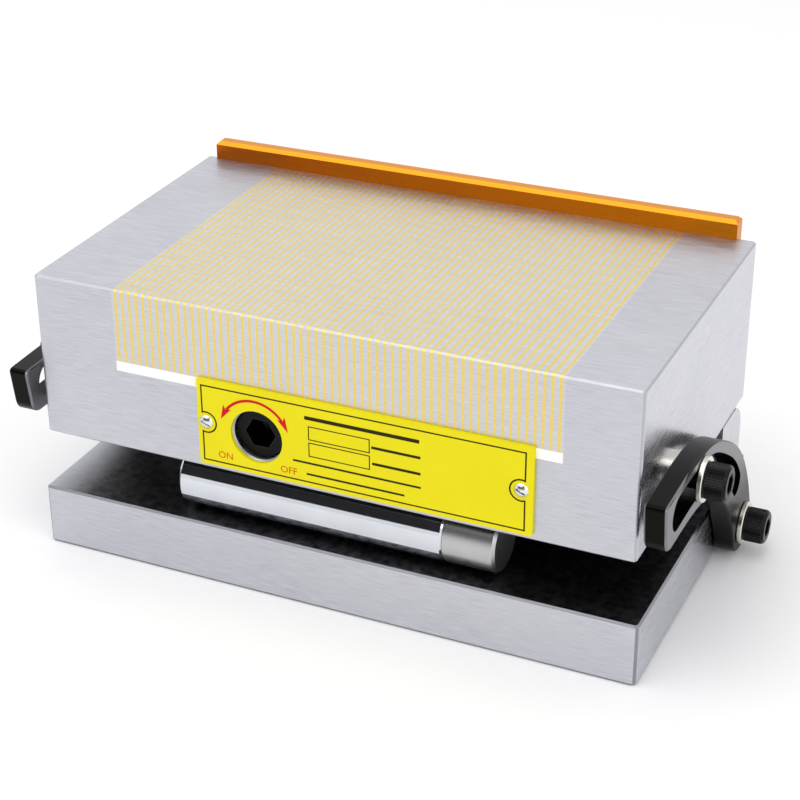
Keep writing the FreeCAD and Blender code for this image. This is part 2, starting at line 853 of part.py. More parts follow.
def rear_bush():
    start = (shaft_x, cavity_rear, shaft_z)
    return ring(bush_diameter / 2, shaft_diameter / 2 + journal_fit, start, (0, 1, 0),
                bush_length)


# ---- magnet carriage, drawn with the chuck switched off ----
def carriage_left():
    return pack_left + carriage_gap


def carriage_right():
    return pack_right - carriage_gap - 2 * eccentric_throw


def yoke_centre():
    return shaft_x - eccentric_throw


def yoke_half():
    return eccentric_diameter / 2 + eccentric_play


def carriage_base():
    return cover_top + carriage_gap


def carriage_front():
    return journal_end + carriage_gap


def carriage_rear():
    return cavity_rear - carriage_gap


def magnet_carriage():
    x0 = carriage_left()
    x1 = carriage_right()
    y0 = carriage_front()
    y1 = carriage_rear()
    z0 = carriage_base()
    z1 = z0 + carriage_floor
    top = pack_bottom - 2 * carriage_gap
    tray = block(x0, x1, y0, y1, z0, z1)
    for a, b in ((x0, x0 + carriage_wall), (x1 - carriage_wall, x1)):
        tray = tray.fuse(block(a, b, y0, y1, z1, top))
    for a, b in ((y0, y0 + curb_width), (y1 - curb_width, y1)):
        tray = tray.fuse(block(x0 + carriage_wall, x1 - carriage_wall, a, b, z1,
                               z1 + curb_height))
    near = cavity_middle - yoke_length / 2
    far = cavity_middle + yoke_length / 2
    cheek = yoke_half() + yoke_wall
    tray = tray.fuse(block(yoke_centre() - cheek, yoke_centre() + cheek, near, far, z1, top))
    tray = tray.cut(block(yoke_centre() - yoke_half(), yoke_centre() + yoke_half(),
                          near - overcut, far + overcut, z1, top + overcut))
    window = eccentric_length / 2 + carriage_gap
    return tray.cut(block(yoke_centre() - yoke_half(), yoke_centre() + yoke_half(),
                          cavity_middle - window, cavity_middle + window, z0 - overcut,
                          z1 + overcut))


def magnet_spans():
    """Stretches of the tray that hold magnets, either side of the shaft's tunnel."""
    clear = yoke_half() + yoke_wall + carriage_gap
    left = (carriage_left() + carriage_wall, yoke_centre() - clear)
    right = (yoke_centre() + clear, carriage_right() - carriage_wall)
    return [left, right]


def magnet_slabs(is_magnet):
    y0 = carriage_front() + curb_width
    y1 = carriage_rear() - curb_width
    z0 = carriage_base() + carriage_floor
    z1 = pack_bottom - carriage_gap
    slabs = []
    for a, b in magnet_spans():
        count = int((b - a) / magnet_pitch)
        pitch = (b - a) / count
        for n in range(count):
            start = a + n * pitch
            split = start + magnet_thickness
            ends = (start, split) if is_magnet else (split, start + pitch)
            slabs.append(block(ends[0], ends[1], y0, y1, z0, z1))
    return Part.makeCompound(slabs)


export("base_plate", base_plate())
export("hinge_lug_left", hinge_lug(-1))
export("hinge_lug_right", hinge_lug(1))
export("hinge_lug_screws", lug_screws())
export("hinge_lug_dowels", lug_dowels())
export("pivot_screws", pivot_screws())
export("pivot_washers", pivot_washers())
export("clamp_arm_left", clamp_arm(-1))
export("clamp_arm_right", clamp_arm(1))
export("clamp_screw_left", clamp_screw(-1))
export("clamp_screw_right", clamp_screw(1))
export("clamp_washer_left", clamp_washer(-1))
export("clamp_washer_right", clamp_washer(1))
export("clamp_spacers", clamp_spacers())
export("chuck_body", chuck_body())
export("bottom_cover", bottom_cover())
export("bottom_cover_screws", cover_screws())
export("steel_poles", steel_poles())
export("brass_strips", brass_strips())
export("resin_seals", resin_seals())
export("stop_rail", stop_rail())
export("stop_rail_screws", rail_screws())
export("nameplate", nameplate())
export("nameplate_screws", plate_screws())
export("front_roller", front_roller())
export("roller_end_piece", roller_end_piece())
export("hinge_roller", hinge_roller())
export("hinge_pins", hinge_pins())
export("roller_screws", roller_screws())
export("switch_shaft", switch_shaft())
export("shaft_o_ring", shaft_o_ring())
export("shaft_circlip", shaft_circlip())
export("eccentric", eccentric())
export("eccentric_pin", eccentric_pin())
export("shaft_bush", rear_bush())
export("magnet_carriage", magnet_carriage())
export("magnet_blocks", magnet_slabs(True))
export("flux_plates", magnet_slabs(False))
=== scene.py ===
import bpy
import bmesh
import math
from mathutils import Euler, Matrix, Vector


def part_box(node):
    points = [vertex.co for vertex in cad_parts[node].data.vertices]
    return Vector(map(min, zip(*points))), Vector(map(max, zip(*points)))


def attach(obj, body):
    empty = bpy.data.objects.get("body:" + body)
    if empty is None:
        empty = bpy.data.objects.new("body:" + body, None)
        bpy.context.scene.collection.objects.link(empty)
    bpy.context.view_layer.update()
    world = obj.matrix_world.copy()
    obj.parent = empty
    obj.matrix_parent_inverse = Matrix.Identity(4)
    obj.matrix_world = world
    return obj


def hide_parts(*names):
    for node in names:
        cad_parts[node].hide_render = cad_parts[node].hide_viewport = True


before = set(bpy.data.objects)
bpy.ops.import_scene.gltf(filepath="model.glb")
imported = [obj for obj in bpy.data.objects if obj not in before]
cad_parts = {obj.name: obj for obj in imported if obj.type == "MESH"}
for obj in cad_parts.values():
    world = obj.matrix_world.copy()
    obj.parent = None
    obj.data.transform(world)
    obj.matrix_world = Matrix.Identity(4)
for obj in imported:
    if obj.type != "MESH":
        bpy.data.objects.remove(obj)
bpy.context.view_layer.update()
print("frame loaded:", len(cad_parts), "nodes")


# ---- small helpers ----
def hexColour(code):
    # an sRGB hex value turned into the linear colour that the shader wants
    parts = [int(code[i:i + 2], 16) / 255 for i in (1, 3, 5)]
    return [c / 12.92 if c <= 0.04045 else ((c + 0.055) / 1.055) ** 2.4 for c in parts] + [1.0]


def perMm(size):
    # pattern scale for features of that many millimetres, in Object coordinates
    return 1000.0 / size


def addNode(tree, kind, settings=None, links=None):
    node = tree.nodes.new(kind)
    for key, value in (settings or {}).items():
        if isinstance(key, int) or key in node.inputs:
            node.inputs[key].default_value = value
        else:
            setattr(node, key, value)
    for key, source in (links or {}).items():
        tree.links.new(source, node.inputs[key])
    return node


def startMaterial(name, values):
    material = bpy.data.materials.new(name)
    material.use_nodes = True
    tree = material.node_tree
    tree.nodes.clear()
    shader = addNode(tree, "ShaderNodeBsdfPrincipled", values)
    addNode(tree, "ShaderNodeOutputMaterial", {}, {"Surface": shader.outputs[0]})
    return material, tree, shader


def dress(material, *nodeNames):
    for nodeName in nodeNames:
        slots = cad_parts[nodeName].data.materials
        slots.clear()
        slots.append(material)


def multiply(tree, source, factors):
    return addNode(tree, "ShaderNodeVectorMath", {"operation": "MULTIPLY", 1: factors},
                   {0: source}).outputs[0]


def mixColour(tree, factor, first, second):
    node = addNode(tree, "ShaderNodeMix", {"data_type": "RGBA"})
    for key, value in ((0, factor), (6, first), (7, second)):
        if isinstance(value, (list, tuple, float, int)):
            node.inputs[key].default_value = value
        else:
            tree.links.new(value, node.inputs[key])
    return node.outputs[2]


def stepAt(tree, source, threshold):
    return addNode(tree, "ShaderNodeMath", {"operation": "GREATER_THAN", 1: threshold},
                   {0: source}).outputs[0]


# ---- finishes ----
def endFaceMask(tree):
    # 1 on faces that look along X, where the wheel marks run front to back
    normal = addNode(tree, "ShaderNodeTexCoord").outputs["Normal"]
    parts = addNode(tree, "ShaderNodeSeparateXYZ", {}, {0: normal})
    size = addNode(tree, "ShaderNodeMath", {"operation": "ABSOLUTE"}, {0: parts.outputs[0]})
    return stepAt(tree, size.outputs[0], 0.7)


def edgeMask(tree, width, sharpness):
    # 1 where a rounded copy of the normal leaves the flat one, so along all edges; it lays a painted
    # highlight there
    soft = addNode(tree, "ShaderNodeBevel", {"samples": 6, "Radius": width / 1000})
    flat = addNode(tree, "ShaderNodeNewGeometry")
    close = addNode(tree, "ShaderNodeVectorMath", {"operation": "DOT_PRODUCT"},
                    {0: soft.outputs[0], 1: flat.outputs["Normal"]})
    return addNode(tree, "ShaderNodeMapRange", {"From Min": 1.0, "From Max": 1.0 - sharpness},
                   {"Value": close.outputs["Value"]}).outputs[0]


def facing(tree, axis, sign, threshold=0.7):
    # 1 on faces that look along one way of an axis
    normal = addNode(tree, "ShaderNodeTexCoord").outputs["Normal"]
    part = addNode(tree, "ShaderNodeSeparateXYZ", {}, {0: normal}).outputs[axis]
    turned = addNode(tree, "ShaderNodeMath", {"operation": "MULTIPLY", 1: sign}, {0: part})
    return stepAt(tree, turned.outputs[0], threshold)


def chamferMask(tree):
    # 1 on the narrow bevels, which look along no single axis
    normal = addNode(tree, "ShaderNodeTexCoord").outputs["Normal"]
    size = addNode(tree, "ShaderNodeVectorMath", {"operation": "ABSOLUTE"}, {0: normal})
    parts = addNode(tree, "ShaderNodeSeparateXYZ", {}, {0: size.outputs[0]})
    pair = addNode(tree, "ShaderNodeMath", {"operation": "MAXIMUM"},
                   {0: parts.outputs[0], 1: parts.outputs[1]})
    most = addNode(tree, "ShaderNodeMath", {"operation": "MAXIMUM"},
                   {0: pair.outputs[0], 1: parts.outputs[2]})
    return addNode(tree, "ShaderNodeMath", {"operation": "LESS_THAN", 1: 0.9},
                   {0: most.outputs[0]}).outputs[0]


def groundMetal(name, look):
    # surface-ground metal: short parallel wheel marks that scatter the light along one way
    material, tree, shader = startMaterial(name, {"Metallic": 1.0})
    place = addNode(tree, "ShaderNodeTexCoord").outputs["Object"]
    length, width = perMm(look["markLength"]), perMm(look["markWidth"])
    lengthways = multiply(tree, place, (length, width, width))
    crossways = multiply(tree, place, (width, length, width))
    ends = endFaceMask(tree)
    run = addNode(tree, "ShaderNodeMix", {"data_type": "VECTOR"},
                  {0: ends, 4: lengthways, 5: crossways}).outputs[1]
    marks = addNode(tree, "ShaderNodeTexNoise", {"Scale": 1.0, "Detail": 4.0, "Roughness": 0.6},
                    {"Vector": run})
    cloud = addNode(tree, "ShaderNodeTexNoise", {"Scale": perMm(look["cloud"]), "Detail": 2.0},
                    {"Vector": place})
    tone = addNode(tree, "ShaderNodeMapRange", {"From Min": 0.3, "From Max": 0.7},
                   {"Value": marks.outputs["Fac"]}).outputs[0]
    marked = mixColour(tree, tone, hexColour(look["dark"]), hexColour(look["light"]))
    haze = addNode(tree, "ShaderNodeMapRange", {"From Min": 0.35, "From Max": 0.65,
                                                "To Max": look["cloudAmount"]},
                   {"Value": cloud.outputs["Fac"]}).outputs[0]
    colour = mixColour(tree, haze, marked, hexColour(look["haze"]))
    if "top" in look:
        # painted reflection: the top of the base is darkened in small patches, standing in for the chuck's
        # dark underside that it mirrors, and fades back to the plain colour towards its left end
        patch = addNode(tree, "ShaderNodeTexNoise", {"Scale": perMm(2.2), "Detail": 5.0},
                        {"Vector": place})
        spread = addNode(tree, "ShaderNodeMapRange", {"From Min": 0.3, "From Max": 0.7},
                         {"Value": patch.outputs["Fac"]}).outputs[0]
        paintedTopShade = mixColour(tree, spread, hexColour(look["topShadeDark"]), hexColour(look["top"]))
        east = addNode(tree, "ShaderNodeSeparateXYZ", {}, {0: place}).outputs[0]
        fade = addNode(tree, "ShaderNodeMapRange", {"From Min": -0.0895, "From Max": -0.074},
                       {"Value": east}).outputs[0]
        both = addNode(tree, "ShaderNodeMath", {"operation": "MULTIPLY"},
                       {0: facing(tree, 2, 1.0), 1: fade}).outputs[0]
        colour = mixColour(tree, both, colour, paintedTopShade)
    # painted shade: faces looking down are given a near-black colour, standing in for the shade under the
    # chuck
    if "paintedUnderShade" in look:
        colour = mixColour(tree, facing(tree, 2, -1.0), colour, hexColour(look["paintedUnderShade"]))
    # painted light and shade on the chamfers: their colour is lighter than the faces where a highlight is
    # wanted, darker where the real highlight is to be dimmed
    colour = mixColour(tree, chamferMask(tree), colour, hexColour(look["edge"]))
    tree.links.new(colour, shader.inputs["Base Color"])
    rough = addNode(tree, "ShaderNodeMapRange", {"From Min": 0.3, "From Max": 0.7,
                                                 "To Min": look["smooth"], "To Max": look["rough"]},
                    {"Value": marks.outputs["Fac"]}).outputs[0]
    polished = addNode(tree, "ShaderNodeMath", {"operation": "MULTIPLY", 1: 0.62}, {0: rough})
    gloss = addNode(tree, "ShaderNodeMix", {"data_type": "FLOAT"},
                    {0: ends, 2: rough, 3: polished.outputs[0]}).outputs[0]
    tree.links.new(gloss, shader.inputs["Roughness"])
    relief = addNode(tree, "ShaderNodeBump", {"Strength": look["relief"], "Distance": 0.00004},
                     {"Height": marks.outputs["Fac"]})
    tree.links.new(relief.outputs[0], shader.inputs["Normal"])
    return material


# ---- chuck and base blocks ----
# the chamfer colour in these looks is painted light and shade on the chamfers
steelLook = {"markLength": 7.0, "markWidth": 0.34, "cloud": 45.0, "cloudAmount": 0.25,
             "dark": "#B4B5BD", "light": "#D2D3DA", "haze": "#D4D5DA", "edge": "#DCDDE2",
             "smooth": 0.34, "rough": 0.5, "relief": 0.25}
# painted reflection: the base's top colours darken its top as if mirroring the chuck's dark underside; its
# darker chamfer colour is painted shade that dims their highlight
baseLook = dict(steelLook, top="#6C6C70", topShadeDark="#333337", edge="#8F9096")
dress(groundMetal("surfaceGroundBaseSteel", baseLook), "base_plate")
# painted shade on the chuck's underside, and a chamfer colour dimmed to soften its highlight
chuckLook = dict(steelLook, paintedUnderShade="#141416", edge="#B4B5BA")
dress(groundMetal("surfaceGroundToolSteel", chuckLook), "chuck_body")
dress(groundMetal("millGroundLugSteel", steelLook), "hinge_lug_left", "hinge_lug_right")

poleLook = dict(steelLook, dark="#BEBFC6", light="#D8D9DF", haze="#DADBE0", edge="#B4B5BA")
dress(groundMetal("surfaceGroundPoleIron", poleLook), "steel_poles")

brassLook = dict(steelLook, dark="#E2C668", light="#EED884", haze="#E8D078", edge="#DCC068",
                 smooth=0.34, rough=0.48, markLength=4.0)
dress(groundMetal("surfaceGroundBrass", brassLook), "brass_strips")

# painted shade: the bottom cover and flux plates get near-black colours that stand in for the shade under
# the chuck
shadedCoverLook = dict(steelLook, dark="#1C1C1F", light="#2A2A2E", haze="#232327", edge="#3A3A3E",
                smooth=0.4, rough=0.55)
dress(groundMetal("milledSteelPaintedShade", shadedCoverLook), "bottom_cover", "flux_plates")
print("ground steel and brass done")


# ---- plain turned and polished metals ----
def turnedMetal(name, look):
    # fine rings left by the lathe or lapping: they only soften the highlight a little
    material, tree, shader = startMaterial(name, {"Metallic": look.get("metallic", 1.0)})
    place = addNode(tree, "ShaderNodeTexCoord").outputs["Object"]
    rings = addNode(tree, "ShaderNodeTexNoise", {"Scale": 1.0, "Detail": 3.0},
                    {"Vector": multiply(tree, place, (perMm(look["ringWidth"]), perMm(20.0),
                                                      perMm(20.0)))})
    smear = addNode(tree, "ShaderNodeTexNoise", {"Scale": perMm(look["smear"]), "Detail": 3.0},
                    {"Vector": place})
    colour = mixColour(tree, smear.outputs["Fac"], hexColour(look["dark"]),
                       hexColour(look["light"]))
    # painted highlight: the edges are lightened with the lighter colour in each look
    withEdgeHighlight = mixColour(tree, edgeMask(tree, look["edgeWidth"], 0.3), colour,
                     hexColour(look["edge"]))
    tree.links.new(withEdgeHighlight, shader.inputs["Base Color"])
    rough = addNode(tree, "ShaderNodeMapRange", {"From Min": 0.3, "From Max": 0.7,
                                                 "To Min": look["smooth"], "To Max": look["rough"]},
                    {"Value": rings.outputs["Fac"]}).outputs[0]
    tree.links.new(rough, shader.inputs["Roughness"])
    relief = addNode(tree, "ShaderNodeBump", {"Strength": look["relief"], "Distance": 0.00002},
                     {"Height": rings.outputs["Fac"]})
    tree.links.new(relief.outputs[0], shader.inputs["Normal"])
    return material


lappedLook = {"ringWidth": 0.5, "smear": 12.0, "dark": "#C9CCD2", "light": "#DCE0E6",
              "edge": "#E8EAEC", "edgeWidth": 0.3, "smooth": 0.05, "rough": 0.09, "relief": 0.02}
dress(turnedMetal("lappedRollerSteel", lappedLook), "front_roller", "hinge_roller",
      "hinge_pins", "hinge_lug_dowels", "eccentric_pin")
turnedLook = dict(lappedLook, dark="#B0B0B2", light="#C4C4C6", smooth=0.3, rough=0.38,
                  relief=0.03, ringWidth=0.2)
dress(turnedMetal("fineTurnedSteel", turnedLook), "roller_end_piece", "eccentric")
domeLook = dict(turnedLook, dark="#D8D8DA", light="#EEEEEF", smooth=0.24, rough=0.3)
dress(turnedMetal("nickelPlatedSteel", domeLook), "nameplate_screws")
zincLook = dict(lappedLook, dark="#D8D4C8", light="#EEEBE2", edge="#FFFDF6", smooth=0.2,
                rough=0.32, relief=0.05, edgeWidth=0.25)
dress(turnedMetal("brightZincPlate", zincLook), "pivot_washers", "clamp_washer_left",
      "clamp_washer_right", "clamp_spacers")
oxideLook = {"ringWidth": 0.4, "smear": 6.0, "dark": "#101012", "light": "#1B1A1C",
             "edge": "#4A4A4C", "edgeWidth": 0.3, "smooth": 0.3, "rough": 0.42, "relief": 0.05,
             "metallic": 0.85}
blackOxide = turnedMetal("blackOxideSteel", oxideLook)
dress(blackOxide, "pivot_screws", "clamp_screw_left", "clamp_screw_right", "hinge_lug_screws",
      "bottom_cover_screws", "stop_rail_screws", "roller_screws", "switch_shaft")
springLook = dict(oxideLook, dark="#26262A", light="#35353A")
dress(turnedMetal("phosphatedSpringSteel", springLook), "shaft_circlip")
bronzeLook = dict(turnedLook, dark="#8A6236", light="#A37A48", edge="#C49A66")
dress(turnedMetal("sinteredBronze", bronzeLook), "shaft_bush")
carriageLook = dict(turnedLook, dark="#A8AAAD", light="#BEC0C3")
dress(turnedMetal("machinedAluminium", carriageLook), "magnet_carriage")
print("turned and plated metals done")


# ---- slotted arms ----
def armFinish(look):
    # heat-blued bar: the broad face is rubbed to grey, the sawn edges stay almost black; painted shade
    # darkens the face towards its foot, and a painted highlight runs along its corners
    material, tree, shader = startMaterial("bluedFlatSteel", {"Metallic": 0.9})
    place = addNode(tree, "ShaderNodeTexCoord").outputs["Object"]
    marks = addNode(tree, "ShaderNodeTexNoise", {"Scale": 1.0, "Detail": 4.0},
                    {"Vector": multiply(tree, place, (perMm(2.0), perMm(0.3), perMm(3.0)))})
    face = mixColour(tree, marks.outputs["Fac"], hexColour(look["faceDark"]),
                     hexColour(look["faceLight"]))
    # painted shade: from 36 mm down to 20 mm above the floor the face darkens into the foot colour,
    # standing in for the shade round the pivot
    high = addNode(tree, "ShaderNodeSeparateXYZ", {}, {0: place}).outputs[2]
    aboveFootShade = addNode(tree, "ShaderNodeMapRange", {"From Min": 0.02, "From Max": 0.036},
                     {"Value": high}).outputs[0]
    face = mixColour(tree, aboveFootShade, hexColour(look["foot"]), face)
    colour = mixColour(tree, endFaceMask(tree), hexColour(look["side"]), face)
    # painted highlight along the corners of the arm
    withEdgeHighlight = mixColour(tree, edgeMask(tree, 0.15, 0.5), colour, hexColour(look["edge"]))
    tree.links.new(withEdgeHighlight, shader.inputs["Base Color"])
    rough = addNode(tree, "ShaderNodeMapRange", {"To Min": 0.28, "To Max": 0.46},
                    {"Value": marks.outputs["Fac"]}).outputs[0]
    tree.links.new(rough, shader.inputs["Roughness"])
    return material


armLook = {"faceDark": "#6A686C", "faceLight": "#8E8C91", "side": "#0D0A08", "edge": "#77757A",
           "foot": "#0E0E10"}
dress(armFinish(armLook), "clamp_arm_left", "clamp_arm_right")


# ---- stop rail ----
def railFinish(look):
    # orange anodised aluminium: dyed oxide over a drawn bar, so the metal shines through
    material, tree, shader = startMaterial("orangeAnodisedAluminium",
                                           {"Metallic": 0.75, "Roughness": 0.34})
    place = addNode(tree, "ShaderNodeTexCoord").outputs["Object"]
    parts = addNode(tree, "ShaderNodeSeparateXYZ", {}, {0: place})
    low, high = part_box("stop_rail")
    # the colour runs from darker at the left end to brighter at the right end
    along = addNode(tree, "ShaderNodeMapRange", {"From Min": low[0], "From Max": high[0]},
                    {"Value": parts.outputs[0]}).outputs[0]
    endToEndTone = mixColour(tree, along, hexColour(look["leftEnd"]), hexColour(look["rightEnd"]))
    draw = addNode(tree, "ShaderNodeTexNoise", {"Scale": 1.0, "Detail": 3.0},
                   {"Vector": multiply(tree, place, (perMm(15.0), perMm(0.4), perMm(0.4)))})
    streaked = mixColour(tree, draw.outputs["Fac"], endToEndTone, hexColour(look["streak"]))
    # painted highlight: the top 1.02 mm of the rail, its top face and chamfer, takes the lighter top colour
    top = stepAt(tree, parts.outputs[2], high[2] - look["chamfer"] / 1000)
    topHighlighted = mixColour(tree, top, streaked, hexColour(look["top"]))
    # painted highlight along the rail's edges
    withEdgeHighlight = mixColour(tree, edgeMask(tree, 0.2, 0.5), topHighlighted, hexColour(look["edge"]))
    tree.links.new(withEdgeHighlight, shader.inputs["Base Color"])
    return material


# the top and chamfer colours here are painted highlights
railLook = {"leftEnd": "#9C3C00", "rightEnd": "#E88C00", "streak": "#CC7000", "top": "#DB8A10",
            "edge": "#F0A61C", "chamfer": 1.02}
dress(railFinish(railLook), "stop_rail")


# ---- resin, rubber and magnets ----
def castFinish(name, look):
    values = {"Roughness": look["roughness"], "IOR": look["ior"],
              "Specular IOR Level": look.get("shine", 0.5)}
    material, tree, shader = startMaterial(name, values)
    place = addNode(tree, "ShaderNodeTexCoord").outputs["Object"]
    grain = addNode(tree, "ShaderNodeTexNoise", {"Scale": perMm(look["grain"]), "Detail": 3.0},
                    {"Vector": place})
    colour = mixColour(tree, grain.outputs["Fac"], hexColour(look["dark"]),
                       hexColour(look["light"]))
    tree.links.new(colour, shader.inputs["Base Color"])
    relief = addNode(tree, "ShaderNodeBump", {"Strength": 0.1, "Distance": 0.00005},
                     {"Height": grain.outputs["Fac"]})
    tree.links.new(relief.outputs[0], shader.inputs["Normal"])
    return material


resinLook = {"roughness": 0.5, "ior": 1.5, "grain": 0.8, "dark": "#F2F2F3", "light": "#FAFAFA"}
dress(castFinish("castWhiteEpoxy", resinLook), "resin_seals")
rubberLook = {"roughness": 0.6, "ior": 1.5, "grain": 0.5, "dark": "#0C0C0C", "light": "#151515"}
dress(castFinish("nitrileRubber", rubberLook), "shaft_o_ring")
magnetLook = {"roughness": 0.65, "ior": 1.6, "grain": 0.4, "dark": "#28282A", "light": "#38383B"}
dress(castFinish("sinteredFerrite", magnetLook), "magnet_blocks")


# ---- nameplate ----
plateLook = {"roughness": 0.5, "ior": 1.5, "grain": 9.0, "shine": 0.2,
             "dark": "#E2D402", "light": "#EADD06"}
dress(castFinish("yellowEnamelPlate", plateLook), "nameplate")

# thickness of the print, widths of its lines and height of its letters, in millimetres
printLook = {"thick": 0.02, "sink": 0.01, "line": 0.42, "boxLine": 0.3, "arrow": 0.8,
             "letters": 2.9}
plateLow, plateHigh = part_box("nameplate")
printFront = plateLow[1] - printLook["thick"] / 1000


def mm(value):
    return value / 1000


class Print:
    # flat ink shapes on the plate's face, given in millimetres along X and Z
    def __init__(self):
        self.form = bmesh.new()

    def shape(self, points):
        ring = [self.form.verts.new((mm(x), printFront, mm(z))) for x, z in points]
        face = self.form.faces.new(ring)
        face.normal_update()
        if face.normal.y > 0:
            face.normal_flip()
        depth = mm(printLook["thick"] + printLook["sink"])
        out = bmesh.ops.extrude_face_region(self.form, geom=[face])
        moved = [v for v in out["geom"] if isinstance(v, bmesh.types.BMVert)]
        bmesh.ops.translate(self.form, verts=moved, vec=(0, depth, 0))

    def stroke(self, points, width, closed=False):
        count = len(points)
        pairs = count if closed else count - 1
        for n in range(pairs):
            (x0, z0), (x1, z1) = points[n], points[(n + 1) % count]
            size = math.hypot(x1 - x0, z1 - z0)
            ux, uz = (x1 - x0) / size * width / 2, (z1 - z0) / size * width / 2
            self.shape([(x0 - ux - uz, z0 - uz + ux), (x0 - ux + uz, z0 - uz - ux),
                        (x1 + ux + uz, z1 + uz - ux), (x1 + ux - uz, z1 + uz + ux)])

    def finish(self, name, material):
        mesh = bpy.data.meshes.new(name)
        bmesh.ops.recalc_face_normals(self.form, faces=self.form.faces)
        self.form.to_mesh(mesh)
        self.form.free()
        mesh.materials.append(material)
        piece = bpy.data.objects.new(name, mesh)
        bpy.context.scene.collection.objects.link(piece)
        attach(piece, "chuck")
        return piece


def arcPoints(x, z, radius, start, stop, steps):
    turns = [math.radians(start + (stop - start) * n / steps) for n in range(steps + 1)]
    return [(x + radius * math.cos(a), z + radius * math.sin(a)) for a in turns]


def inkFinish(name, code):
    # screen-printed enamel ink: dull, with a faint unevenness in its tone
    look = {"roughness": 0.6, "ior": 1.5, "grain": 0.6, "shine": 0.15, "dark": code, "light": code}
    return castFinish(name, look)


# frame line with a round notch at each end, two boxes, and ruled lines given by their
# start, stop, height on the plate and thickness
darkInk = Print()
left, right, low, high, middle = -35.6, 57.8, 39.6, 62.3, 51.2
notch = {"radius": 3.1, "inset": 1.1, "turn": 110, "steps": 14}
border = [(left, low), (right, low)]
border += arcPoints(right - notch["inset"], middle, notch["radius"],
                    notch["turn"] - 180, -notch["turn"] - 180, notch["steps"])
border += [(right, high), (left, high)]
border += arcPoints(left + notch["inset"], middle, notch["radius"],
                    notch["turn"], -notch["turn"], notch["steps"])
darkInk.stroke(border, printLook["line"], closed=True)
boxLeft, boxRight = -3.4, 14.3
for boxLow, boxHigh in ((52.6, 56.5), (47.6, 51.6)):
    corners = [(boxLeft, boxLow), (boxRight, boxLow), (boxRight, boxHigh), (boxLeft, boxHigh)]
    darkInk.stroke(corners, printLook["boxLine"], closed=True)
rows = ((-4.0, 28.0, 59.0, 1.1), (15.3, 28.5, 54.3, 0.8), (15.5, 28.5, 49.5, 0.8),
        (-8.0, 28.7, 45.4, 0.6), (-4.0, 24.0, 42.0, 0.6))
for start, stop, z, width in rows:
    darkInk.stroke([(start, z), (stop, z)], width)
darkInk.finish("plate_print_lines", inkFinish("oliveScreenInk", "#2A2404"))

# double arrow round the socket: one arc in degrees, and a head a few degrees past each end
arrow = {"x": -19.7, "z": 50.0, "radius": 10.5, "start": 37, "stop": 143, "steps": 24,
         "past": 10}
arrowHead = {"tip": 1.8, "barb": 2.7, "notch": 1.7, "half": 1.3}
redInk = Print()
half = printLook["arrow"] / 2
redInk.shape(arcPoints(arrow["x"], arrow["z"], arrow["radius"] + half,
                       arrow["start"], arrow["stop"], arrow["steps"])
             + arcPoints(arrow["x"], arrow["z"], arrow["radius"] - half,
                         arrow["stop"], arrow["start"], arrow["steps"]))
for turn, way in ((arrow["stop"] + arrow["past"], 1), (arrow["start"] - arrow["past"], -1)):
    a = math.radians(turn)
    x = arrow["x"] + arrow["radius"] * math.cos(a)
    z = arrow["z"] + arrow["radius"] * math.sin(a)
    ux, uz = -math.sin(a) * way, math.cos(a) * way
    tip, barb = arrowHead["tip"], arrowHead["barb"]
    inner, wide = arrowHead["notch"], arrowHead["half"]
    redInk.shape([(x + ux * tip, z + uz * tip),
                  (x - ux * barb - uz * wide, z - uz * barb + ux * wide),
                  (x - ux * inner, z - uz * inner),
                  (x - ux * barb + uz * wide, z - uz * barb - ux * wide)])
redInk.finish("plate_print_arrow", inkFinish("redScreenInk", "#CC0E20"))

# each word with its left end and the height of its base line
words = (("ON", -31.2, 41.1), ("OFF", -12.2, 40.9))
for word, x, z in words:
    curve = bpy.data.curves.new("word" + word, "FONT")
    curve.body = word
    curve.size = mm(printLook["letters"])
    curve.extrude = mm(printLook["thick"] + printLook["sink"]) / 2
    curve.resolution_u = 3
    written = bpy.data.objects.new("wordForm", curve)
    bpy.context.scene.collection.objects.link(written)
    bpy.context.view_layer.update()
    mesh = bpy.data.meshes.new_from_object(written)
    bpy.data.objects.remove(written)
    middleY = printFront + mm(printLook["thick"] + printLook["sink"]) / 2
    mesh.transform(Matrix.Translation((mm(x), middleY, mm(z))) @ Matrix.Rotation(math.pi / 2, 4, "X"))
    form = bmesh.new()
    form.from_mesh(mesh)
    bmesh.ops.remove_doubles(form, verts=form.verts, dist=0.000001)
    bmesh.ops.recalc_face_normals(form, faces=form.faces)
    form.to_mesh(mesh)
    form.free()
    mesh.materials.clear()
    mesh.materials.append(inkFinish("orangeRedInk" + word, "#D04010"))
    piece = bpy.data.objects.new("plate_word_" + word.lower(), mesh)
    bpy.context.scene.collection.objects.link(piece)
    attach(piece, "chuck")


# ---- knurled cap screws ----
# radii and lengths in millimetres; the crown's rings are a drop below the head's face and a radius
screwLook = {"count": 96, "shank": 3.0, "tip": 0.6, "head": 6.0, "seat": 4.7, "lead": 0.35,
             "knurlHigh": 4.98, "knurlLow": 4.8, "knurlDrop": 0.9,
             "crown": ((0.55, 4.78), (0.15, 4.5), (0.0, 4.2)),
             "flats": 5.0, "rim": 0.22, "rimDrop": 0.2, "socket": 3.2}


def hexRadius(angle, flats):
    folded = math.radians(math.degrees(angle) % 60 - 30)
    return flats / 2 / math.cos(folded)


